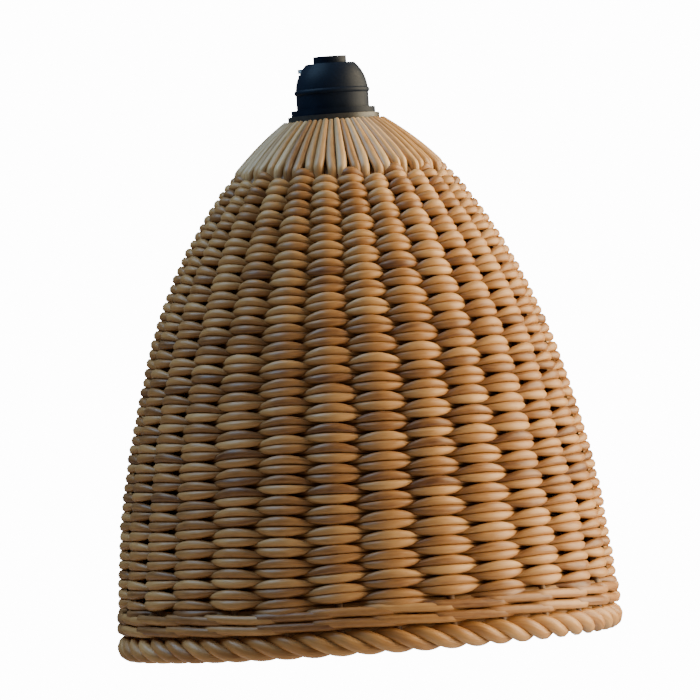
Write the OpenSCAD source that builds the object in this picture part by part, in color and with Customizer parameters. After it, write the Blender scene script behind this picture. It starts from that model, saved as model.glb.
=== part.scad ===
// Woven cane bell shade on a small screw lampholder, hung from the threaded end of a lamp arm.
// The origin is the centre of the mouth of the arm's thread, +Z is up and the shade hangs below.

/* [Shade] */
// Height of the canework, from under the holder's flange to the bottom of the rolled border
shade_h = 208; // [170:1:260]
// Outer diameter of the weave at the rim
rim_d = 200; // [165:1:240]
// Outer diameter of the canework at its top
top_d = 34; // [34:0.5:42]
// Radius of the outer curve of the crown
crown_r = 123; // [90:1:140]
// Slope of the wall from the vertical at the top, in degrees
top_slope = 57; // [50:1:60]
// Slope where the crown meets the shoulder
shoulder_slope = 36; // [32:1:40]
// Slope where the shoulder meets the flank
flank_slope = 16; // [13:1:19]
// Slope of the flank at the rim
rim_slope = 2; // [0:0.5:4]

/* [Canework] */
// Number of upright stakes
stake_count = 28; // [20:2:32]
// Diameter of a stake
stake_d = 3.5; // [2.5:0.1:4.5]
// Diameter of a weaving cane
weaver_d = 3.5; // [2.5:0.1:4]
// Distance between rows, along the wall
row_pitch = 3.8; // [3.4:0.1:5]
// Thickness of one ply of weave, from a crest to its back
ply_t = 2.2; // [1.5:0.1:2.8]
// Depth of the groove between two rows
row_relief = 0.9; // [0.3:0.1:1.2]
// Length of the crown of close radiating canes, along the wall
crown_len = 30; // [20:1:40]
// Thickness of the crown canes
crown_cane_d = 3.4; // [2.5:0.1:4]
// Rows of the heavy twined band above the border
wale_rows = 2; // [1:1:3]
// Thickness of the border's band, which runs up between the outer and inner canes of the twined band
band_t = 2.1; // [1.5:0.1:4]
// Diameter of the rolled border
border_d = 10.4; // [8:0.1:12]

/* [Wire frame] */
// Diameter of the frame's wire
wire_d = 3; // [2:0.1:4]
// Number of wire legs
leg_count = 3; // [3:1:4]
// Distance of the bottom hoop's centre from the bottom edge, along the wall
hoop_rise = 11; // [8:1:30]
// Outer diameter of the fitter cup
fitter_d = 36; // [35:0.1:37]
// Sheet thickness of the fitter cup
fitter_t = 1.2; // [0.8:0.1:1.5]

/* [Lampholder] */
// Bore that takes the arm's M10 x 1 nipple, at the thread's major diameter with clearance
nipple_bore_d = 10.1; // [10.05:0.05:10.3]
// Length of the threaded bore
nipple_len = 10; // [8:0.5:12]
// Wall of the neck
neck_wall = 1.45; // [1.2:0.05:2]
// Height of the neck above the dome
neck_h = 2.8; // [2:0.1:5]
// Diameter of the dome where it springs from the neck
dome_top_d = 19.2; // [16:0.1:22]
// Height of the dome
dome_h = 11; // [9:0.1:13]
// Outer diameter of the cap's wall
cap_d = 28.5; // [28:0.1:30]
// Height of the cap over all, neck included
cap_h = 20.7; // [18:0.1:24]
// Wall of the cap
cap_wall = 1.6; // [1.2:0.1:2]
// How far the bead round the cap stands out
bead_r = 0.6; // [0.3:0.1:0.8]
// Diameter of the lock screw
lock_screw_d = 4; // [3:0.5:5]
// Depth of the lock screw's axis below the mouth
lock_screw_depth = 6.4; // [5.5:0.1:7]
// How far the flange over the shade stands out from the cap
flange_lip = 2.25; // [1.8:0.05:3]
// Thickness of the flange
flange_t = 2.3; // [2:0.1:3]
// Outer diameter of the ring thread, M28 x 2
ring_thread_d = 27.8; // [27.5:0.1:28]
// Pitch of the ring thread
ring_pitch = 2; // [1.5:0.5:2]
// Length of the ring thread below the flange
ring_thread_len = 21; // [18:0.5:26]
// Step in from the ring thread to the nose
nose_step = 1.5; // [1:0.1:1.8]
// Length of the nose
nose_len = 12.5; // [10:0.5:15]
// Inner diameter of the outer shell
shell_bore_d = 22.4; // [22:0.1:23]
// Height of the shade ring
ring_h = 6; // [5:0.1:6.5]
// Grip notches round the shade ring
ring_notches = 16; // [8:2:24]

/* [Lamp] */
// Outer diameter of the lamp's E14 cap, over the thread
lamp_cap_d = 13.8; // [13.5:0.1:13.9]
// Length of the lamp's metal cap
lamp_cap_len = 16; // [14:0.5:18]
// Diameter of the glass globe
globe_d = 45; // [40:1:50]
// Length of the lamp over all
lamp_len = 78; // [74:1:85]
// Diameter of the neck of the glass
glass_neck_d = 15.2; // [14.6:0.1:16]
// Thickness of the glass
glass_t = 0.7; // [0.5:0.1:1]
// Number of light-emitting filaments
filament_count = 4; // [2:2:6]
// Diameter of a filament
filament_d = 1.6; // [1:0.1:2]

/* [Fits] */
// Radial clearance of the shade ring on its thread
ring_clear = 0.07; // [0.02:0.01:0.1]
// Radial clearance of the fitter cup's bore over the ring thread
bore_clear = 0.35; // [0.2:0.05:0.6]
// Gap round the shade ring inside the fitter cup
cup_clear = 0.4; // [0.3:0.05:0.6]
// Gap between pieces that move against each other
move_gap = 0.3; // [0.2:0.05:0.5]
// Gap between pieces that are fixed together
fix_gap = 0.1; // [0.05:0.01:0.2]

/* [Hidden] */
$fn = 72;

cane = "#b98a4f";
cane_dark = "#8a5d33";
bakelite = "#20242c";
steel = "#9a9da2";
brass_c = "#c9a24a";
porcelain = "#e9e4da";

// Heights of the lampholder's levels, all below the mouth of the thread
cap_z = -cap_h;
seat_z = cap_z - flange_t;
thread_end_z = seat_z - ring_thread_len;
shell_end_z = thread_end_z - nose_len;
core_top_z = cap_z + 3.7;
lip_t = 1.5;
sleeve_top_z = seat_z - 7;
tongue_drop = 1;
tip_z = sleeve_top_z - tongue_drop - move_gap;
tip_h = 1.6;
insulator_h = 2.4;
lamp_cap_z = tip_z - tip_h - insulator_h + 0.6;
lamp_cap_end_z = lamp_cap_z - lamp_cap_len;
flare_h = 2;

// The outer curve of the wall is three tangent arcs. Two of their radii follow from the shade's height
// and widths. An angle on an arc is the wall's slope from the vertical there.
slopes = [top_slope, shoulder_slope, flank_slope, rim_slope];
drop = [for (i = [0:2]) sin(slopes[i]) - sin(slopes[i + 1])];
spread = [for (i = [0:2]) cos(slopes[i + 1]) - cos(slopes[i])];
rest_h = shade_h - crown_r * drop[0];
rest_w = (rim_d - top_d) / 2 - crown_r * spread[0];
det = drop[1] * spread[2] - drop[2] * spread[1];
arc_r = [
    crown_r,
    (rest_h * spread[2] - drop[2] * rest_w) / det,
    (drop[1] * rest_w - spread[1] * rest_h) / det
];
function way(a) = [cos(a), sin(a)];
c0 = [top_d / 2, seat_z] - arc_r[0] * way(slopes[0]);
c1 = c0 + (arc_r[0] - arc_r[1]) * way(slopes[1]);
c2 = c1 + (arc_r[1] - arc_r[2]) * way(slopes[2]);
arc_c = [c0, c1, c2];
arc_len = [for (i = [0:2]) arc_r[i] * (slopes[i] - slopes[i + 1]) * PI / 180];
arc_start = [0, arc_len[0], arc_len[0] + arc_len[1]];
wall_len = arc_start[2] + arc_len[2];

// Which arc the distance s along the wall falls on, the slope there, and the point at a depth into the wall
function arc_at(s) = s < arc_start[1] ? 0 : s < arc_start[2] ? 1 : 2;
function slope_at(s) = slopes[arc_at(s)] - (s - arc_start[arc_at(s)]) / arc_r[arc_at(s)] * 180 / PI;
function wall(s, depth) = arc_c[arc_at(s)] + (arc_r[arc_at(s)] - depth) * way(slope_at(s));
function steps(from, to, n) = [for (k = [0:n]) from + (to - from) * k / n];
function backwards(list) = [for (k = [len(list) - 1:-1:0]) list[k]];
function arc_points(c, r, a0, a1, n) = [for (a = steps(a0, a1, n)) c + r * way(a)];

wall_t = stake_d + 2 * weaver_d;
wale_d = (wall_t - band_t) / 2;

// The fitter cup reaches down to the top hoop, and the hoop touches the inside of the crown
fitter_r = fitter_d / 2;
fitter_z = seat_z - fix_gap;
top_hoop_x = fitter_r + (wire_d + fix_gap) / 2;
top_hoop_arc_r = arc_r[0] - crown_cane_d - fix_gap - wire_d / 2;
top_hoop_at = [top_hoop_x, c0.y + sqrt(pow(top_hoop_arc_r, 2) - pow(top_hoop_x - c0.x, 2))];
fitter_h = fitter_z - top_hoop_at.y + wire_d / 2;

// The crown's canes begin where their inner face clears the cup
crown_start_a = acos((fitter_r + fix_gap - c0.x) / (arc_r[0] - crown_cane_d));
crown_start = (top_slope - crown_start_a) * arc_r[0] * PI / 180;
weave_start = crown_start + crown_len;
border_start = wall_len - border_d - wale_rows * wale_d;
row_count = floor((border_start - fix_gap - weave_start) / row_pitch);
weave_end = weave_start + row_count * row_pitch;
leg_depth = (wall_t + max(wall_t, border_d) + wire_d) / 2 + 3 * fix_gap;
hoop_s = wall_len - hoop_rise;
weld = 0.2;

// A bent cane or wire along points [r, z] in the plane y = 0
module bent_rod(line, d, sides) {
    last = len(line) - 1;
    ahead = [for (k = [0:last]) line[min(k + 1, last)] - line[max(k - 1, 0)]];
    out = [for (v = ahead) [-v.y, v.x] / norm(v)];
    ring = [for (j = [0:sides - 1]) d / 2 * way(360 * j / sides)];
    points = [for (k = [0:last]) for (q = ring)
        [line[k].x + out[k].x * q.x, q.y, line[k].y + out[k].y * q.x]];
    walls = [for (k = [0:last - 1]) for (j = [0:sides - 1]) let(a = k * sides + j, b = k * sides + (j + 1) % sides)
        each [[a, b, a + sides], [b, b + sides, a + sides]]];
    ends = [[for (j = [sides - 1:-1:0]) j], [for (j = [0:sides - 1]) last * sides + j]];
    polyhedron(points, concat(walls, ends));
}

// A ring of round wire or cane about the axis
module hoop(at, d) {
    rotate_extrude() translate(at) circle(d = d, $fn = 24);
}

module around(n, first = 0) {
    for (k = [0:n - 1]) rotate([0, 0, first + 360 * k / n]) children();
}

// ---- lampholder ----
cap_r = cap_d / 2;
neck_d = nipple_bore_d + 2 * neck_wall;
flange_d = cap_d + 2 * flange_lip;
cap_in_r = cap_r - cap_wall;
dome_bulge = cap_r - dome_top_d / 2;
dome_r = (dome_bulge * dome_bulge + dome_h * dome_h) / (2 * dome_bulge);
dome_foot_z = -neck_h - dome_h;
dome_c = [cap_r - dome_r, dome_foot_z];
lock_end_r = dome_c.x + sqrt(dome_r * dome_r - pow(lock_screw_depth + dome_foot_z, 2));

module cap() {
    color(bakelite) difference() {
        union() {
            rotate_extrude() polygon(concat(
                [[nipple_bore_d / 2, 0], [neck_d / 2, 0], [neck_d / 2, -neck_h]],
                arc_points(dome_c, dome_r, asin(dome_h / dome_r), 0, 12),
                [[cap_r, cap_z], [cap_in_r, cap_z], [cap_in_r, -nipple_len], [nipple_bore_d / 2, -nipple_len]]));
            hoop([cap_r - bead_r, dome_foot_z], 4 * bead_r);
        }
        translate([0, 0, -lock_screw_depth]) rotate([0, -90, 0])
            cylinder(d = lock_screw_d + 2 * fix_gap, h = cap_d);
        translate([0, 0, -nipple_len - cap_h]) cylinder(r = cap_in_r, h = cap_h);
    }
}

module lock_screw() {
    slot_w = 0.8;
    proud = 0.5;
    color(steel) translate([0, 0, -lock_screw_depth]) rotate([0, -90, 0]) difference() {
        translate([0, 0, nipple_bore_d / 2 + move_gap])
            cylinder(d = lock_screw_d, h = lock_end_r + proud - nipple_bore_d / 2 - move_gap);
        translate([-slot_w / 2, -lock_screw_d, lock_end_r - slot_w]) cube([slot_w, 2 * lock_screw_d, 2 * slot_w]);
    }
}

shell_in_r = shell_bore_d / 2;
spigot_r = cap_in_r - fix_gap;
spigot_h = 6;
mouth_r = lamp_cap_d / 2 + 1.5;
nose_d = ring_thread_d - 2 * nose_step;

module shell() {
    crest_r = ring_thread_d / 2;
    root_r = crest_r - 0.6 * ring_pitch;
    turns = floor(ring_thread_len / ring_pitch);
    color(bakelite) rotate_extrude() polygon(concat(
        [[shell_in_r, cap_z + spigot_h], [spigot_r, cap_z + spigot_h], [spigot_r, cap_z], [flange_d / 2, cap_z],
         [flange_d / 2, seat_z], [crest_r, seat_z]],
        [for (k = [0:turns - 1]) each [
            [crest_r, seat_z - (k + 0.15) * ring_pitch], [root_r, seat_z - (k + 0.5) * ring_pitch],
            [crest_r, seat_z - (k + 0.85) * ring_pitch]]],
        [[crest_r, thread_end_z], [nose_d / 2, thread_end_z], [nose_d / 2, shell_end_z], [mouth_r, shell_end_z],
         [mouth_r, shell_end_z + lip_t], [shell_in_r, shell_end_z + lip_t]]));
}

core_r = shell_in_r - fix_gap;
core_end_z = lamp_cap_end_z + flare_h + move_gap;
sleeve_in_r = lamp_cap_d / 2 + move_gap;
sleeve_t = 0.8;
sleeve_r = sleeve_in_r + sleeve_t;
terminal_x = 6;
strip_t = 0.5;
strip_w = 4.4;
centre_strip_x = 2.3;
side_strip_x = sleeve_r + fix_gap / 2;
screw_d = 3;
strip_end_x = 9.2;

// The flat of a contact strip that lies on the core under a terminal screw, and its leg down into the core
module contact_leg(leg_x, depth) {
    difference() {
        translate([0, strip_w / 2, 0]) rotate([90, 0, 0]) linear_extrude(strip_w) polygon([
            [leg_x, core_top_z - depth], [leg_x + strip_t, core_top_z - depth], [leg_x + strip_t, core_top_z],
            [strip_end_x, core_top_z], [strip_end_x, core_top_z + strip_t],
            [min(leg_x, terminal_x - screw_d), core_top_z + strip_t],
            [min(leg_x, terminal_x - screw_d), core_top_z], [leg_x, core_top_z]
        ]);
        translate([terminal_x, 0, core_top_z - strip_t]) cylinder(d = screw_d + 2 * fix_gap, h = 3 * strip_t);
    }
}

centre_leg = core_top_z - sleeve_top_z - strip_t;
side_leg = core_top_z - sleeve_top_z + 6;

module core() {
    slot_t = strip_t + 2 * fix_gap;
    slot_w = strip_w + 2 * fix_gap;
    color(porcelain) difference() {
        translate([0, 0, core_end_z]) cylinder(r = core_r, h = core_top_z - core_end_z);
        translate([0, 0, core_end_z - 1]) cylinder(r = sleeve_r + fix_gap, h = sleeve_top_z - core_end_z + 1);
        for (x = [-terminal_x, terminal_x])
            translate([x, 0, core_top_z - 6]) cylinder(d = screw_d + 2 * fix_gap, h = 7);
        translate([centre_strip_x - fix_gap, -slot_w / 2, sleeve_top_z - 1])
            cube([slot_t, slot_w, core_top_z - sleeve_top_z + 2]);
        translate([-side_strip_x - strip_t - fix_gap, -slot_w / 2, core_top_z - side_leg - fix_gap])
            cube([slot_t + fix_gap, slot_w, side_leg + 1]);
    }
}

module thread_sleeve() {
    color(brass_c) translate([0, 0, core_end_z + fix_gap]) difference() {
        cylinder(r = sleeve_r, h = sleeve_top_z - core_end_z - 3 * fix_gap - strip_t);
        translate([0, 0, -1]) cylinder(r = sleeve_in_r, h = sleeve_top_z - core_end_z + 2);
    }
}

module centre_contact() {
    color(brass_c) union() {
        contact_leg(centre_strip_x, centre_leg);
        translate([0, strip_w / 2, 0]) rotate([90, 0, 0]) linear_extrude(strip_w) polygon([
            [centre_strip_x + strip_t, sleeve_top_z + strip_t],
            [centre_strip_x + strip_t, sleeve_top_z - strip_t], [centre_strip_x, sleeve_top_z - strip_t - fix_gap],
            [-screw_d, sleeve_top_z - tongue_drop], [-screw_d, sleeve_top_z - tongue_drop + strip_t],
            [centre_strip_x, sleeve_top_z - fix_gap], [centre_strip_x, sleeve_top_z + strip_t]
        ]);
    }
}

module side_contact() {
    color(brass_c) rotate([0, 0, 180]) contact_leg(side_strip_x, side_leg);
}

module terminal_screws() {
    head_h = 1.9;
    slot = 0.7;
    color(steel) for (x = [-terminal_x, terminal_x])
        translate([x, 0, core_top_z + strip_t + fix_gap / 2]) difference() {
            union() {
                cylinder(d = 2 * screw_d - 0.6, h = head_h);
                translate([0, 0, -5]) cylinder(d = screw_d, h = 5 + head_h / 2);
            }
            translate([-screw_d, -slot / 2, head_h - slot]) cube([2 * screw_d, slot, 2 * slot]);
        }
}

// ---- shade ring ----
ring_z = fitter_z - fitter_t - fix_gap;
ring_d = fitter_d - 2 * (fitter_t + cup_clear);

module shade_ring() {
    notch_d = 1.6;
    color(bakelite) translate([0, 0, ring_z - ring_h]) difference() {
        cylinder(d = ring_d, h = ring_h);
        translate([0, 0, -1]) cylinder(r = ring_thread_d / 2 + ring_clear, h = ring_h + 2);
        around(ring_notches) translate([ring_d / 2, 0, -1]) cylinder(d = notch_d, h = ring_h * 0.6 + 1, $fn = 16);
    }
}

// ---- wire frame ----
leg_top = top_hoop_at - [0, wire_d - weld];

module fitter_cup() {
    color(steel) translate([0, 0, fitter_z - fitter_h]) difference() {
        cylinder(r = fitter_r, h = fitter_h);
        translate([0, 0, -1]) cylinder(r = fitter_r - fitter_t, h = fitter_h - fitter_t + 1);
        cylinder(d = ring_thread_d + 2 * bore_clear, h = fitter_h + 1);
    }
}

module top_hoop() {
    color(steel) hoop(top_hoop_at, wire_d);
}

module frame_legs() {
    along = steps(weave_start, hoop_s - wire_d / 2 + weld, 18);
    color(steel) around(leg_count)
        bent_rod(concat([leg_top], [for (s = along) wall(s, leg_depth)]), wire_d, 8);
}

module bottom_hoop() {
    color(steel) hoop(wall(hoop_s, leg_depth), wire_d);
}

// ---- canework ----
module crown_canes() {
    face = steps(crown_start, weave_start - fix_gap, 12);
    color(cane) rotate_extrude() polygon(concat(
        [for (s = face) wall(s, 0)],
        [for (s = backwards(face)) wall(s, crown_cane_d)]));
}

module stakes() {
    along = steps(crown_start + 4 * stake_d, weave_end, 14);
    color(cane_dark) around(stake_count, 180 / stake_count)
        bent_rod([for (s = along) wall(s, wall_t / 2)], stake_d, 6);
}

// A ply of weave from one row to another: a crest on every row, a groove between rows, and a plain back
module weave_ply(first, last, crest, groove, back) {
    from = weave_start + first * row_pitch;
    to = weave_start + last * row_pitch - fix_gap;
    color(cane) rotate_extrude() polygon(concat(
        [wall(from, groove)],
        [for (k = [first:last - 1]) each [
            wall(weave_start + (k + 0.5) * row_pitch, crest),
            wall(min(weave_start + (k + 1) * row_pitch, to), groove)]],
        [for (s = steps(to, from, last - first)) wall(s, back)]));
}

// The outer ply is woven in three bands, each from a third of the rows
module outer_band(k) {
    weave_ply(round(row_count * k / 3), round(row_count * (k + 1) / 3), 0, row_relief, ply_t);
}
module upper_weave() { outer_band(0); }
module middle_weave() { outer_band(1); }
module lower_weave() { outer_band(2); }

module inner_weave() {
    weave_ply(0, row_count, wall_t, wall_t - row_relief, wall_t - ply_t);
}

module rim_wale() {
    color(cane_dark) for (k = [0:wale_rows - 1])
        for (depth = [wale_d / 2 - 2 * fix_gap, wall_t - wale_d / 2 + 2 * fix_gap])
            hoop(wall(border_start + (k + 0.5) * wale_d, depth), wale_d - fix_gap);
}

// The border is a round roll with a thin band that runs up between the canes of the wale
module rim_border() {
    roll_c = wall(wall_len - border_d / 2, wall_t / 2);
    gap_a = asin(band_t / border_d);
    color(cane) rotate_extrude() polygon(concat(
        [wall(border_start, (wall_t + band_t) / 2), wall(border_start, (wall_t - band_t) / 2)],
        arc_points(roll_c, border_d / 2, 90 - gap_a, gap_a - 270, 24)));
}

// ---- lamp ----
lamp_cap_r = lamp_cap_d / 2;
cap_sheet_t = 0.4;
thread_depth = 0.5;
lamp_cap_in_r = lamp_cap_r - thread_depth - cap_sheet_t;
globe_r = globe_d / 2;
globe_c = [0, tip_z - lamp_len + globe_r];
glass_neck_r = glass_neck_d / 2;
neck_fillet = 14;
neck_x = glass_neck_r + neck_fillet;
neck_c = [neck_x, globe_c.y + sqrt(pow(globe_r + neck_fillet, 2) - pow(neck_x, 2))];
blend_a = atan2(neck_c.y - globe_c.y, neck_c.x);

module lamp_tip() {
    color(steel) translate([0, 0, tip_z - tip_h]) cylinder(r1 = 3, r2 = 1.8, h = tip_h);
}

module lamp_insulator() {
    color(bakelite) translate([0, 0, tip_z - tip_h - insulator_h])
        cylinder(r1 = lamp_cap_in_r - fix_gap, r2 = 3.2, h = insulator_h);
}

module lamp_cap() {
    thread_pitch = 2.82;
    turns = 4;
    root_r = lamp_cap_r - thread_depth;
    first_z = lamp_cap_z - 1;
    color(brass_c) rotate_extrude() polygon(concat(
        [[lamp_cap_in_r, lamp_cap_z], [root_r, lamp_cap_z]],
        [for (k = [0:turns - 1]) each [
            [root_r, first_z - k * thread_pitch], [lamp_cap_r, first_z - (k + 0.5) * thread_pitch]]],
        [[root_r, first_z - turns * thread_pitch], [root_r, lamp_cap_end_z + flare_h - cap_sheet_t],
         [glass_neck_r + cap_sheet_t, lamp_cap_end_z], [glass_neck_r + fix_gap, lamp_cap_end_z],
         [lamp_cap_in_r, lamp_cap_end_z + flare_h]]));
}

// The outline of the glass at a depth into its wall, from the bottom of the globe up to its neck
function glass_line(t) = concat(
    arc_points(globe_c, globe_r - t, -90, blend_a, 28),
    arc_points(neck_c, neck_fillet + t, 180 + blend_a, 180, 10),
    [[glass_neck_r - t, lamp_cap_end_z - 2 * fix_gap],
     [lamp_cap_in_r - fix_gap - t, lamp_cap_end_z + flare_h],
     [lamp_cap_in_r - fix_gap - t, lamp_cap_end_z + 3 * flare_h]]);

module lamp_glass() {
    color("white", 0.5) rotate_extrude() polygon(concat(glass_line(0), backwards(glass_line(glass_t))));
}

stem_r = 2.4;
stem_end_z = neck_c.y - 8;
filament_len = 26;
filament_top_z = stem_end_z - 4;
filament_ring_r = 6;

module lamp_stem() {
    foot_z = lamp_cap_end_z + 3 * flare_h;
    foot_r = lamp_cap_in_r - glass_t - 2 * fix_gap;
    color("white", 0.6) rotate_extrude() polygon([
        [0, stem_end_z], [stem_r, stem_end_z], [stem_r, lamp_cap_end_z], [foot_r, foot_z - flare_h],
        [foot_r, foot_z], [0, foot_z]]);
}

// Two leads out of the stem, and the wire carriers at the top and the bottom of the filaments
module lamp_leads() {
    lead_d = 0.6;
    lead_x = 1.4;
    carrier_z = [filament_top_z + fix_gap, filament_top_z - filament_len - lead_d - fix_gap];
    color(steel) {
        for (z = carrier_z) translate([0, 0, z]) difference() {
            cylinder(r = filament_ring_r + filament_d / 2, h = lead_d);
            translate([0, 0, -1]) cylinder(r = filament_ring_r - filament_d / 2, h = 3);
        }
        for (x = [-lead_x, lead_x]) translate([x, 0, carrier_z[0]])
            cylinder(d = lead_d, h = stem_end_z - fix_gap - carrier_z[0], $fn = 16);
        translate([-filament_ring_r, -lead_d / 2, carrier_z[0]]) cube([2 * filament_ring_r, lead_d, lead_d]);
    }
}

module lamp_filaments() {
    color("gold") around(filament_count, 45) translate([filament_ring_r, 0, filament_top_z - filament_len])
        cylinder(d = filament_d, h = filament_len, $fn = 24);
}

cap();
lock_screw();
shell();
core();
thread_sleeve();
centre_contact();
side_contact();
terminal_screws();
shade_ring();
fitter_cup();
top_hoop();
frame_legs();
bottom_hoop();
crown_canes();
stakes();
upper_weave();
middle_weave();
lower_weave();
inner_weave();
rim_wale();
rim_border();
lamp_tip();
lamp_insulator();
lamp_cap();
lamp_glass();
lamp_stem();
lamp_leads();
lamp_filaments();
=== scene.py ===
"""Looks for a woven cane bell shade on its small black screw lampholder. Lengths are in metres."""
import math

import bpy
import numpy as np
from mathutils import Matrix, Vector


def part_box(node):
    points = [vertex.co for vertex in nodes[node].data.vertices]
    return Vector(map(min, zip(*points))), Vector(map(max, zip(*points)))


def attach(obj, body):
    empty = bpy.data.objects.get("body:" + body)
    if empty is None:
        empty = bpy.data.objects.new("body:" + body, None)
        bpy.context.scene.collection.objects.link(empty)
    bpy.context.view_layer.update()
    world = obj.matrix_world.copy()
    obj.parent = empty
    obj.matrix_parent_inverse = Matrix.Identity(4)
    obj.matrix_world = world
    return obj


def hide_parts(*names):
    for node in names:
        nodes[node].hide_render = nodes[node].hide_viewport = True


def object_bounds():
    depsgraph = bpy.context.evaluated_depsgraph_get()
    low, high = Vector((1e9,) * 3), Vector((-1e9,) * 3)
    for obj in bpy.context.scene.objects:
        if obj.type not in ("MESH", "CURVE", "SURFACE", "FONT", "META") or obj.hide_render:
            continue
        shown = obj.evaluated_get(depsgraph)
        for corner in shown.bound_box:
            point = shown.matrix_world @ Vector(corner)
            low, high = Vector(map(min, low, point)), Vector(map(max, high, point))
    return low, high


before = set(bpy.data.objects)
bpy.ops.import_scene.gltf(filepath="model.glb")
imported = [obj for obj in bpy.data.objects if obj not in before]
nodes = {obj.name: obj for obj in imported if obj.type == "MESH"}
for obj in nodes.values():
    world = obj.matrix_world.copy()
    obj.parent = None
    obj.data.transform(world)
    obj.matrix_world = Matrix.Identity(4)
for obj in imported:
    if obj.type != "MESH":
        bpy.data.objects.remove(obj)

cad_low, cad_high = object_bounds()
draw = np.random.default_rng(26)

# ---------------------------------------------------------------- sizes of the canework
STAKES = 28
STAKE_D = 0.0035
WEAVER_D = 0.0035
ROW_PITCH = 0.0038
CROWN_LEN = 0.030
WALE_ROWS = 2
BAND_T = 0.0021
BORDER_D = 0.0104
WALL_T = STAKE_D + 2 * WEAVER_D
MID_WALL = WALL_T / 2
WALE_D = (WALL_T - BAND_T) / 2
STAKE_TURN = 2 * math.pi / STAKES

# ---------------------------------------------------------------- the wall's outer curve
FIX_GAP = 0.0001
CUP_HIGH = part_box("fitter_cup")[1]
SEAT_Z = CUP_HIGH[2] + FIX_GAP
SHADE_H = 0.208
RIM_R = 0.100
TOP_R = 0.017
CROWN_R = 0.123
SLOPES = np.radians([57, 36, 16, 2])


def three_arcs():
    """The radii, centres and lengths of the three tangent arcs that make the wall's outer curve."""
    drop = np.sin(SLOPES[:-1]) - np.sin(SLOPES[1:])
    spread = np.cos(SLOPES[1:]) - np.cos(SLOPES[:-1])
    rest = np.array([SHADE_H - CROWN_R * drop[0], RIM_R - TOP_R - CROWN_R * spread[0]])
    lower = np.linalg.solve(np.array([drop[1:], spread[1:]]), rest)
    radii = np.array([CROWN_R, *lower])
    way = np.stack([np.cos(SLOPES), np.sin(SLOPES)], axis=1)
    centres = [np.array([TOP_R, SEAT_Z]) - radii[0] * way[0]]
    for k in (1, 2):
        centres.append(centres[-1] + (radii[k - 1] - radii[k]) * way[k])
    return radii, np.array(centres), radii * (SLOPES[:-1] - SLOPES[1:])


ARC_R, ARC_C, ARC_LEN = three_arcs()
ARC_START = np.array([0, ARC_LEN[0], ARC_LEN[0] + ARC_LEN[1]])
WALL_LEN = ARC_LEN.sum()


def slope_at(s):
    """Which arc each distance along the wall falls on, and the wall's slope from the vertical there."""
    s = np.asarray(s, float)
    arc = np.clip(np.searchsorted(ARC_START, s, side="right") - 1, 0, 2)
    return arc, SLOPES[arc] - (s - ARC_START[arc]) / ARC_R[arc]


def wall(s, depth):
    """r and z at a distance s along the wall and a depth in from its outer face."""
    arc, slope = slope_at(s)
    reach = ARC_R[arc] - depth
    return ARC_C[arc, 0] + reach * np.cos(slope), ARC_C[arc, 1] + reach * np.sin(slope)


CROWN_CANE_D = 0.0034
CUP_SLOPE = math.acos((CUP_HIGH[0] + FIX_GAP - ARC_C[0, 0]) / (CROWN_R - CROWN_CANE_D))
CROWN_START = (SLOPES[0] - CUP_SLOPE) * CROWN_R
WEAVE_START = CROWN_START + CROWN_LEN
BORDER_START = WALL_LEN - BORDER_D - WALE_ROWS * WALE_D
ROWS = int((BORDER_START - FIX_GAP - WEAVE_START) / ROW_PITCH)
ROW_STEP = (BORDER_START - WEAVE_START) / ROWS

# ---------------------------------------------------------------- handwork: small shared errors of the maker
WAVES = [(m, draw.uniform(14, 34), draw.uniform(0, 2 * math.pi)) for m in (2, 3, 4, 5, 7, 9)]
WAVE_SUM = 3.2
SLIP = 0.0006
BULGE = 0.0004
SWAY = 0.011
FADE = 0.02


def drift(turn, s, shift):
    """A smooth value from about -1 to 1 that varies round the shade and down it."""
    total = sum(np.cos(m * turn + k * s * 2.5 + phase + shift * m) for m, k, phase in WAVES)
    return total / WAVE_SUM


def place(turn, s, depth):
    """Points on the shade at an angle round it, a distance down the wall and a depth, with the maker's errors."""
    turn, s, depth = np.broadcast_arrays(turn, s, depth)
    loose = np.clip((s - CROWN_START) / FADE, 0, 1)
    rim = np.clip((WALL_LEN - s) / FADE, 0, 1)
    s = s + SLIP * drift(turn, s, 1.7) * loose * rim
    r, z = wall(s, depth - BULGE * drift(turn, s, 0.4) * loose)
    turn = turn + SWAY * drift(turn, s, 2.9) * loose
    return np.stack([r * np.cos(turn), r * np.sin(turn), z], axis=-1)


def face_out(turn, s):
    """The wall's outward direction."""
    slope = slope_at(s)[1]
    flat, up, turn = np.broadcast_arrays(np.cos(slope), np.sin(slope), turn)
    return np.stack([flat * np.cos(turn), flat * np.sin(turn), up], axis=-1)


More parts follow.
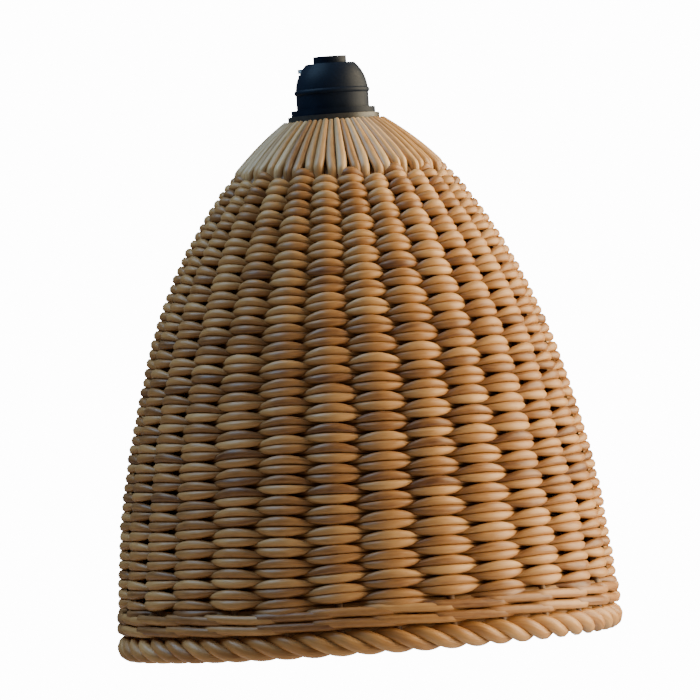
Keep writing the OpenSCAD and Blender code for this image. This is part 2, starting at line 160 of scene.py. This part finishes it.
# ---------------------------------------------------------------- rods swept into meshes
class Bundle:
    """A mesh made of many canes. Each point keeps its cane's number, its place along and round the cane, and how
    deep it lies in the weave, which sets how much painted shade the cane's finish gives it."""

    def __init__(self):
        self.points, self.faces, self.marks, self.recess, self.count = [], [], [], [], 0

    def cane(self, line, outward, high, thick, sides=10, closed=False, recess=0.0, along=None):
        """Sweeps an oval of half-height high and half-thickness thick along a line of points."""
        n = len(line)
        ahead = np.roll(line, -1, axis=0) - np.roll(line, 1, axis=0)
        if not closed:
            ahead[0], ahead[-1] = line[1] - line[0], line[-1] - line[-2]
        ahead /= np.linalg.norm(ahead, axis=1, keepdims=True)
        out = outward - (outward * ahead).sum(1, keepdims=True) * ahead
        out /= np.linalg.norm(out, axis=1, keepdims=True)
        side = np.cross(ahead, out)
        angle = np.linspace(0, 2 * math.pi, sides, endpoint=False)
        high, thick = np.broadcast_to(high, n)[:, None, None], np.broadcast_to(thick, n)[:, None, None]
        ring = line[:, None] + np.cos(angle)[None, :, None] * thick * out[:, None]
        ring = ring + np.sin(angle)[None, :, None] * high * side[:, None]
        if along is None:
            along = np.concatenate([[0], np.cumsum(np.linalg.norm(np.diff(line, axis=0), axis=1))])
        marks = np.empty((n, sides, 4))
        marks[..., 0] = draw.random()
        marks[..., 1] = along[:, None]
        marks[..., 2], marks[..., 3] = np.cos(angle), np.sin(angle)
        self.points.append(ring.reshape(-1, 3))
        self.marks.append(marks.reshape(-1, 4))
        self.recess.append(np.broadcast_to(np.asarray(recess, float), (n,)).repeat(sides))
        last = n if closed else n - 1
        a = (np.arange(last)[:, None] * sides + np.arange(sides)[None]).ravel()
        b = (np.arange(last)[:, None] * sides + (np.arange(sides)[None] + 1) % sides).ravel()
        total = n * sides
        quads = np.stack([a, b, (b + sides) % total, (a + sides) % total], axis=1) + self.count
        self.faces.extend(quads.tolist())
        if not closed:
            self.faces.append((self.count + np.arange(sides)[::-1]).tolist())
            self.faces.append((self.count + total - sides + np.arange(sides)).tolist())
        self.count += total

    def piece(self, name, material, body, slot, *stands_for):
        mesh = bpy.data.meshes.new(name)
        mesh.from_pydata(np.concatenate(self.points).tolist(), [], self.faces)
        mesh.polygons.foreach_set("use_smooth", [True] * len(mesh.polygons))
        marks = mesh.attributes.new("cane", "FLOAT_COLOR", "POINT")
        marks.data.foreach_set("color", np.concatenate(self.marks).ravel())
        recess = mesh.attributes.new("recess", "FLOAT", "POINT")
        recess.data.foreach_set("value", np.concatenate(self.recess))
        mesh.materials.append(material)
        made = bpy.data.objects.new(name, mesh)
        bpy.context.collection.objects.link(made)
        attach(made, body)
        if stands_for:
            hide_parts(*stands_for)
        return made


# ---------------------------------------------------------------- finishes
class Value:
    """A shader socket that takes part in Python arithmetic."""

    def __init__(self, finish, socket):
        self.finish, self.socket = finish, socket

    def _with(self, operation, first, second=0.0, **settings):
        return self.finish.node("Math", {"operation": operation, **settings}, [first, second])

    def __add__(self, other):
        return self._with("ADD", self, other)

    def __sub__(self, other):
        return self._with("SUBTRACT", self, other)

    def __rsub__(self, other):
        return self._with("SUBTRACT", other, self)

    def __mul__(self, other):
        return self._with("MULTIPLY", self, other)

    def clamped(self):
        return self._with("ADD", self, 0.0, use_clamp=True)

    def beside(self, output):
        """Another output of the same node."""
        return Value(self.finish, self.socket.node.outputs[output])

    __radd__ = __add__
    __rmul__ = __mul__


class Finish:
    """A material's nodes."""

    def __init__(self, name):
        self.material = bpy.data.materials.new(name)
        self.material.use_nodes = True
        self.tree = self.material.node_tree
        self.tree.nodes.clear()

    def node(self, kind, settings=None, sockets=(), out=0):
        """Adds a node: its settings first, then values or links for its sockets, by name or in order."""
        made = self.tree.nodes.new("ShaderNode" + kind)
        for key, value in (settings or {}).items():
            if key == "stops":
                self._stops(made.color_ramp, value)
            else:
                setattr(made, key, value)
        pairs = sockets.items() if isinstance(sockets, dict) else enumerate(sockets)
        for key, value in pairs:
            if isinstance(value, Value):
                self.tree.links.new(value.socket, made.inputs[key])
            else:
                made.inputs[key].default_value = value
        return Value(self, made.outputs[out]) if made.outputs else None

    @staticmethod
    def _stops(ramp, stops):
        while len(ramp.elements) < len(stops):
            ramp.elements.new(0.5)
        for element, (at, colour) in zip(ramp.elements, stops):
            element.position = at
            element.color = (*colour, 1)

    def noise(self, vector, scale, detail=3.0, rough=0.55):
        sockets = {"Vector": vector, "Scale": scale, "Detail": detail, "Roughness": rough}
        return self.node("TexNoise", None, sockets)

    def vector(self, x, y, z):
        return self.node("CombineXYZ", None, [x, y, z])

    def ramp(self, factor, stops):
        return self.node("ValToRGB", {"stops": stops}, [factor])

    def mix(self, factor, first, second, blend="MIX"):
        settings = {"data_type": "RGBA", "blend_type": blend}
        return self.node("Mix", settings, {0: factor, 6: first, 7: second}, out=2)

    def place(self):
        return self.node("TexCoord", out="Object")

    def bump(self, height, strength, distance):
        sockets = {"Strength": strength, "Distance": distance, "Height": height}
        return self.node("Bump", None, sockets)

    def shade(self, **sockets):
        """Ends the material in a Principled surface. Socket names are given with _ for a space."""
        named = {key.replace("_", " "): value for key, value in sockets.items()}
        surface = self.node("BsdfPrincipled", None, named)
        self.node("OutputMaterial", None, {"Surface": surface})
        return self.material


def cane_finish(name, pale, warm, dark, shade_strength=0.5, gloss=0.42):
    """Rattan under old varnish: streaked along each cane, mottled, and darkened with painted shade where it lies
    deep in the weave.
    """
    f = Finish(name)
    marks = f.node("Attribute", {"attribute_name": "cane"})
    cane = f.node("SeparateColor", None, [marks])
    along, round_x, round_y = cane.beside(1), cane.beside(2), marks.beside("Alpha")
    deep = f.node("Attribute", {"attribute_name": "recess"}, out="Fac")
    streak = f.noise(f.vector(along * 55, round_x * 2.6 + cane * 91, round_y * 2.6), 1.0, 4.0, 0.6)
    fleck = f.noise(f.vector(along * 240 + cane * 300, round_x * 1.4 + cane * 71, round_y * 1.4), 1.0, 2.0)
    mottle = f.noise(f.vector(along * 16 + cane * 170, round_x * 0.35, round_y * 0.35 + cane * 13), 1.0, 2.0)
    tone = cane * 0.34 + mottle * 0.62 + streak * 0.42 + fleck * 0.2 - 0.3
    body = f.ramp(tone, [(0.16, dark), (0.46, warm), (0.80, pale)])
    # Painted shade: canes that lie deep in the weave are mixed towards a darker brown; the fleck term adds random
    # darker tone.
    shade_and_fleck = (deep * shade_strength + (0.5 - fleck) * 0.15).clamped()
    colour = f.mix(shade_and_fleck, body, (*[0.42 * c for c in dark], 1))
    rough = streak * 0.3 + deep * 0.18 + (gloss - 0.15)
    normal = f.bump(streak + fleck * 0.4, 0.35, 0.0004)
    return f.shade(Base_Color=colour, Roughness=rough, Normal=normal, Specular_IOR_Level=0.35,
                   Coat_Weight=0.06, Coat_Roughness=0.35)


PALE = (0.59, 0.325, 0.122)
WARM = (0.39, 0.178, 0.055)
DARK = (0.13, 0.047, 0.015)
weaver_finish = cane_finish("woven_cane", PALE, WARM, DARK)
# The stakes take a slightly stronger painted shade where they lie deep in the weave.
stake_finish = cane_finish("stake_cane", (0.46, 0.27, 0.11), (0.25, 0.12, 0.045), (0.09, 0.038, 0.014),
                           shade_strength=0.55)
crown_finish = cane_finish("crown_cane", (0.72, 0.48, 0.24), (0.48, 0.26, 0.10), (0.17, 0.072, 0.026),
                           gloss=0.38)


def phenolic_finish():
    """Black moulded phenolic, its near-black mottled blue-grey as a painted reflection of cool light, with fine
    pitting and finger wear.
    """
    f = Finish("black_phenolic")
    spot = f.place()
    cloud = f.noise(spot, 90.0, 4.0)
    grain = f.noise(spot, 1400.0, 2.0)
    # The blue-grey in this near-black is a painted reflection of cool light.
    colour = f.mix(cloud, (0.003, 0.006, 0.014, 1), (0.008, 0.014, 0.030, 1))
    rough = cloud * 0.22 + grain * 0.08 + 0.34
    return f.shade(Base_Color=colour, Roughness=rough, Normal=f.bump(grain, 0.12, 0.0002),
                   Specular_IOR_Level=0.11)


def metal_finish(name, base, worn, rough):
    """Drawn or turned metal: fine streaks along the axis, patches of tarnish."""
    f = Finish(name)
    spot = f.place()
    patch = f.noise(spot, 160.0, 4.0)
    drawn = f.node("VectorMath", {"operation": "MULTIPLY"}, [spot, (600.0, 600.0, 50.0)])
    lines = f.noise(drawn, 1.0, 2.0)
    colour = f.mix(patch, (*base, 1), (*worn, 1))
    return f.shade(Base_Color=colour, Metallic=1.0, Roughness=patch * 0.25 + lines * 0.12 + rough,
                   Normal=f.bump(lines, 0.08, 0.0001))


def enamel_finish():
    """Thin black stoving paint on steel wire, with a soft orange-peel and a little dust."""
    f = Finish("black_enamel")
    spot = f.place()
    peel = f.noise(spot, 700.0, 2.0)
    dust = f.noise(spot, 60.0, 5.0)
    colour = f.mix(dust, (0.014, 0.014, 0.015, 1), (0.05, 0.047, 0.042, 1))
    return f.shade(Base_Color=colour, Roughness=dust * 0.3 + 0.25, Normal=f.bump(peel, 0.15, 0.0002))


def porcelain_finish():
    f = Finish("porcelain")
    spot = f.place()
    cloud = f.noise(spot, 120.0, 4.0)
    colour = f.mix(cloud, (0.70, 0.66, 0.58, 1), (0.84, 0.81, 0.74, 1))
    return f.shade(Base_Color=colour, Roughness=cloud * 0.2 + 0.2, Normal=f.bump(cloud, 0.1, 0.0003))


def glass_finish(name, tint, rough):
    f = Finish(name)
    spot = f.place()
    haze = f.noise(spot, 45.0, 4.0)
    colour = f.mix(haze, (*tint, 1), (*[0.93 * c for c in tint], 1))
    return f.shade(Base_Color=colour, Roughness=haze * 0.05 + rough, Transmission_Weight=1.0, IOR=1.45)


def black_glass_finish():
    f = Finish("black_glass")
    haze = f.noise(f.place(), 300.0, 3.0)
    colour = f.mix(haze, (0.008, 0.008, 0.012, 1), (0.02, 0.02, 0.028, 1))
    return f.shade(Base_Color=colour, Roughness=haze * 0.12 + 0.08)


def phosphor_finish():
    """Yellow phosphor coat on the light-emitting filaments."""
    f = Finish("phosphor")
    grain = f.noise(f.place(), 2500.0, 3.0)
    colour = f.mix(grain, (0.72, 0.42, 0.04, 1), (0.92, 0.66, 0.12, 1))
    return f.shade(Base_Color=colour, Roughness=grain * 0.2 + 0.55, Normal=f.bump(grain, 0.3, 0.0001))


phenolic = phenolic_finish()
steel = metal_finish("zinc_steel", (0.55, 0.56, 0.57), (0.36, 0.36, 0.35), 0.22)
brass = metal_finish("sleeve_brass", (0.78, 0.57, 0.25), (0.48, 0.33, 0.13), 0.16)
lamp_brass = metal_finish("nickelled_brass", (0.70, 0.66, 0.55), (0.50, 0.44, 0.32), 0.18)
enamel = enamel_finish()
porcelain = porcelain_finish()
clear_glass = glass_finish("clear_glass", (0.98, 0.98, 0.97), 0.01)
black_glass = black_glass_finish()
phosphor = phosphor_finish()


def dress(material, *names):
    """Gives CAD pieces their finish."""
    for name in names:
        if not nodes[name].material_slots:
            nodes[name].data.materials.append(material)
        for slot in nodes[name].material_slots:
            slot.material = material


dress(phenolic, "cap", "shell", "shade_ring")
dress(steel, "lock_screw", "terminal_screws", "lamp_leads", "lamp_tip")
dress(brass, "thread_sleeve", "centre_contact", "side_contact")
dress(lamp_brass, "lamp_cap")
dress(porcelain, "core")
dress(enamel, "fitter_cup", "top_hoop", "bottom_hoop", "frame_legs")
dress(clear_glass, "lamp_glass", "lamp_stem")
dress(black_glass, "lamp_insulator")
dress(phosphor, "lamp_filaments")


# ---------------------------------------------------------------- crown
CROWN_TUCK = 0.0006
CROWN_TAIL = 0.004
CROWN_CANE_MAX = 0.0027
DIVE_LEN = 0.0060
DRAW_IN_LEN = 0.0095


def ease(x):
    x = np.clip(x, 0, 1)
    return x * x * (3 - 2 * x)


def crown():
    """Close canes fan out from the cup. At the crown's lower edge they draw together in pairs, one pair between each
    two stakes, and dive behind the first row, which leaves a small dark arch over every stake."""
    canes = Bundle()
    s = np.linspace(CROWN_START - CROWN_TUCK, WEAVE_START + CROWN_TAIL, 48)
    room = wall(s, 0.002)[0] * STAKE_TURN / 4
    for k in range(STAKES):
        edge = WEAVE_START - 0.0010 + draw.uniform(-0.0014, 0.0012)
        dive = ease((s - (edge - 0.0020)) / DIVE_LEN)
        draw_in = ease((s - (edge - 0.0085)) / DRAW_IN_LEN)
        for side in (-1, 1):
            high = np.minimum(room * 1.03, CROWN_CANE_MAX) * draw.uniform(0.93, 1.05) * (1 - 0.16 * draw_in)
            thick = np.minimum(high, 0.0018)
            turn = (k + 1 + side / 4 * (1 - 0.24 * draw_in)) * STAKE_TURN
            depth = thick + 0.0002 + dive * (MID_WALL - 0.0012) + draw.uniform(-0.0002, 0.0003)
            # recess paints shade on the canes where they dive behind the first row.
            canes.cane(place(turn, s, depth), face_out(turn, s), high, thick, 12, recess=0.9 * dive)
    return canes.piece("crown_pairs", crown_finish, "shade", "cane", "crown_canes")


# ---------------------------------------------------------------- stakes and weave
def stakes():
    """Upright stakes from under the crown down into the border, which the rows pass in front of and behind."""
    rods = Bundle()
    s = np.linspace(WEAVE_START - 0.012, WALL_LEN - BORDER_D / 2, 70)
    for k in range(STAKES):
        turn = np.full_like(s, (k + 0.5) * STAKE_TURN)
        half = STAKE_D / 2 * draw.uniform(0.94, 1.05)
        # recess paints shade over the whole stake, which lies behind the rows.
        rods.cane(place(turn, s, MID_WALL), face_out(turn, s), half, half, 12, recess=0.8)
    return rods.piece("stake_rods", stake_finish, "shade", "stake_cane", "stakes")


STEPS = 10
ROW_HALF = 0.0020
PRESSED = 0.0018
AROUND = np.linspace(0, 2 * math.pi, STAKES * STEPS, endpoint=False)
WALE_WAVES = 9
WALE_HALF = 0.0017
EDGE_HALF = 0.0017
BORDER_WAVES = 19
LAY_HALF = 0.0026


def mirror_along(radius):
    """Distance along a ring from its front, the same both ways, so that a closed ring's finish has no seam."""
    return radius * np.abs((AROUND + math.pi / 2 + math.pi) % (2 * math.pi) - math.pi)


def weave(name, first, last, *stands_for):
    """Rows of plain weave, each of two canes worked as one. A row passes outside one stake and inside the next, and
    the next row does the reverse. The pair opens over a stake and closes up where it slips between two stakes."""
    rows = Bundle()
    for k in range(first, last):
        s = WEAVE_START + (k + 0.5) * ROW_STEP + draw.uniform(-0.00012, 0.00012)
        swing = np.cos(AROUND / STAKE_TURN * math.pi - math.pi / 2) * (1 if k % 2 else -1)
        swing = np.sign(swing) * np.abs(swing) ** 0.8
        depth = MID_WALL - np.where(swing > 0, 1, 0.8) * swing * (STAKE_D + WEAVER_D) / 2
        high = (ROW_HALF + PRESSED * np.abs(swing)) / 2
        for side in (-1, 1):
            line = place(AROUND, s + side * high, depth + draw.uniform(-0.0002, 0.0002))
            # recess paints shade where the row passes inside, behind a stake.
            rows.cane(line, face_out(AROUND, s), high * draw.uniform(1.0, 1.1), WEAVER_D / 2 * 0.95, 8,
                      closed=True, recess=np.clip(0.5 - 0.6 * swing, 0, 1),
                      along=mirror_along(float(wall(s, 0)[0])))
    return rows.piece(name, weaver_finish, "shade", "cane", *stands_for)


def wale():
    """The twined band over the border: rows of three canes that take turns to come to the front. A thin cane in the
    middle of the wall closes each of the band's edges."""
    strands = Bundle()
    for row in range(WALE_ROWS):
        middle = BORDER_START + (row + 0.5) * WALE_D
        for k in range(3):
            roll = AROUND * WALE_WAVES + 2 * math.pi * k / 3
            depth = MID_WALL - np.clip(np.cos(roll) * 1.9 + 0.45, -1, 1) * (MID_WALL - WALE_HALF)
            line = place(AROUND, middle + 0.0005 * np.sin(roll), depth)
            # recess paints shade where a strand turns to the back of the band.
            strands.cane(line, face_out(AROUND, middle), WALE_HALF * 1.1, WALE_HALF, 10, closed=True,
                         recess=np.clip(0.5 - 0.8 * np.cos(roll), 0, 1), along=mirror_along(RIM_R))
    for edge in (BORDER_START, BORDER_START + WALE_ROWS * WALE_D + EDGE_HALF / 2):
        line = place(AROUND, edge, MID_WALL + EDGE_HALF / 2)
        # The edge canes in the middle of the wall get full painted shade.
        strands.cane(line, face_out(AROUND, edge), EDGE_HALF, EDGE_HALF, 8, closed=True, recess=1.0,
                     along=mirror_along(RIM_R))
    return strands.piece("rim_twining", weaver_finish, "shade", "stake_cane", "rim_wale")


def border():
    """The rolled border: the stakes' ends laid over one another round the rim."""
    lays = Bundle()
    middle = WALL_LEN - BORDER_D / 2
    swing_r = BORDER_D / 2 - LAY_HALF
    turn = np.linspace(0, 2 * math.pi, BORDER_WAVES * 24, endpoint=False)
    for k in range(3):
        roll = turn * BORDER_WAVES + 2 * math.pi * k / 3
        line = place(turn, middle + swing_r * np.sin(roll), MID_WALL - swing_r * np.cos(roll))
        # recess paints shade where a lay turns inward and on its lower side.
        lays.cane(line, face_out(turn, middle), LAY_HALF, LAY_HALF, 10, closed=True,
                  recess=np.clip(0.3 - 0.3 * np.cos(roll) + 0.4 * np.sin(roll), 0, 1),
                  along=np.abs(turn - math.pi) * RIM_R)
    return lays.piece("rolled_border", weaver_finish, "shade", "cane", "rim_border")


crown()
stakes()
THIRDS = [round(ROWS * k / 3) for k in range(4)]
weave("weave_upper", THIRDS[0], THIRDS[1], "upper_weave", "inner_weave")
weave("weave_middle", THIRDS[1], THIRDS[2], "middle_weave")
weave("weave_lower", THIRDS[2], THIRDS[3], "lower_weave")
wale()
border()

# ---------------------------------------------------------------- floor, light and camera
FLOOR_Z = -1.2
FLOOR_HALF = 7.0
FLOOR_GLOW = 8.0
BACKDROP_GLOW = 14.0
ROOM_LIGHT = 0.07


def floor():
    """A plain floor far below. It glows evenly to the camera, and throws back only the light that falls on it."""
    mesh = bpy.data.meshes.new("floor")
    corners = [(x * FLOOR_HALF, y * FLOOR_HALF, FLOOR_Z) for x, y in ((-1, -1), (1, -1), (1, 1), (-1, 1))]
    mesh.from_pydata(corners, [], [(0, 1, 2, 3)])
    f = Finish("pale_floor")
    cloud = f.noise(f.place(), 3.0, 3.0)
    tint = f.mix(cloud, (0.80, 0.80, 0.79, 1), (0.84, 0.84, 0.83, 1))
    paint = f.node("BsdfPrincipled", None, {"Base Color": tint, "Roughness": 0.8})
    glow = f.node("Emission", None, {"Color": tint, "Strength": FLOOR_GLOW})
    seen = f.node("LightPath", out="Is Camera Ray")
    f.node("OutputMaterial", None, {"Surface": f.node("MixShader", None, [seen, paint, glow])})
    mesh.materials.append(f.material)
    made = bpy.data.objects.new("floor", mesh)
    bpy.context.collection.objects.link(made)


def area_light(name, azimuth, elevation, distance, size, watts, colour):
    """A soft square light that faces the shade. Azimuth 0 is in front and 90 is on the right."""
    a, e = math.radians(azimuth), math.radians(elevation)
    lamp = bpy.data.lights.new(name, "AREA")
    lamp.size, lamp.energy, lamp.color = size, watts, colour
    made = bpy.data.objects.new(name, lamp)
    way = Vector((math.sin(a) * math.cos(e), -math.cos(a) * math.cos(e), math.sin(e)))
    made.location = MIDDLE + way * distance
    made.rotation_mode = "QUATERNION"
    made.rotation_quaternion = (-way).to_track_quat("-Z", "Y")
    bpy.context.collection.objects.link(made)


MIDDLE = Vector((0, 0, (cad_low[2] + cad_high[2]) / 2))
floor()
area_light("key", 96, 12, 1.6, 1.9, 124, (1.0, 0.84, 0.56))
area_light("fill", -84, 58, 2.2, 1.6, 54, (0.42, 0.69, 1.0))
area_light("front", 5, 5, 2.6, 2.0, 3.5, (1.0, 0.84, 0.68))

world = bpy.data.worlds.new("studio")
world.use_nodes = True
bpy.context.scene.world = world
sky = world.node_tree
seen = sky.nodes.new("ShaderNodeLightPath")
level = sky.nodes.new("ShaderNodeMath")
level.operation = "MULTIPLY_ADD"
level.inputs[1].default_value = BACKDROP_GLOW
level.inputs[2].default_value = ROOM_LIGHT
sky.links.new(seen.outputs["Is Camera Ray"], level.inputs[0])
sky.links.new(level.outputs[0], sky.nodes["Background"].inputs["Strength"])
sky.nodes["Background"].inputs["Color"].default_value = (1, 1, 1, 1)

CAMERA_DISTANCE = 2.6
EYE_Z = -0.108
FRAME_HEIGHT = 0.275
LEAN = math.radians(4)
camera = bpy.data.objects.new("camera", bpy.data.cameras.new("camera"))
bpy.context.collection.objects.link(camera)
camera.location = (0, -CAMERA_DISTANCE, EYE_Z)
look = (MIDDLE - camera.location).to_track_quat("-Z", "Y").to_matrix()
camera.rotation_mode = "QUATERNION"
camera.rotation_quaternion = (look @ Matrix.Rotation(-LEAN, 3, "Z")).to_quaternion()
camera.data.sensor_width = 36
camera.data.lens = camera.data.sensor_width * CAMERA_DISTANCE / FRAME_HEIGHT
camera.data.clip_end = 50
bpy.context.scene.camera = camera
